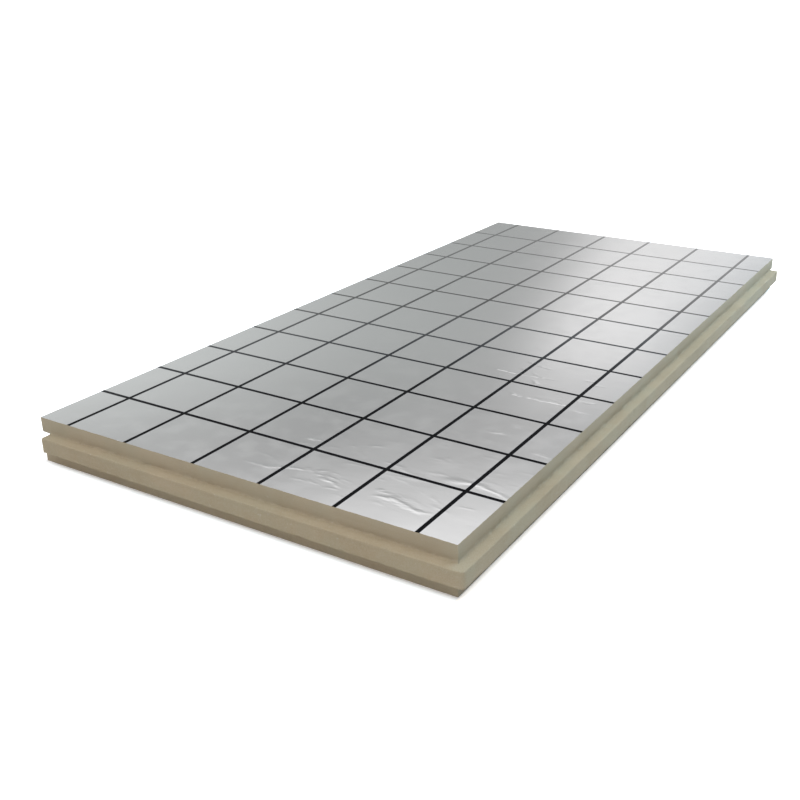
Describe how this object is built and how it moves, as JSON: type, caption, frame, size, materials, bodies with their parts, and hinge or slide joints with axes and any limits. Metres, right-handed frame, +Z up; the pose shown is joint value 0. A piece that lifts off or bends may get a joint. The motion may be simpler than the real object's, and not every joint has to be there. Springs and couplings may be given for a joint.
{
  "type": "foil-faced rigid foam insulation board",
  "caption": "Flat rigid foam insulation board with aluminium facings, tongues on adjoining edges and matching grooves along the opposite edges.",
  "frame": {"origin": "centre of the board's underside, measured on the 600 by 1200 mm facing", "axes": "+Z up through the thickness; +Y along the 1200 mm length, towards the grooved short edge; +X across the width, towards the tongued long edge"},
  "size_m": [0.614, 1.214, 0.06],
  "materials": {
    "foam": "matt, fine closed cells, dull yellowish grey",
    "foil": "satin aluminium foil, slightly wrinkled, with a thin black printed grid"
  },
  "bodies": {
    "root": {"foam_core": "foam", "top_facer": "foil", "bottom_facer": "foil"}
  },
  "joints": []
}
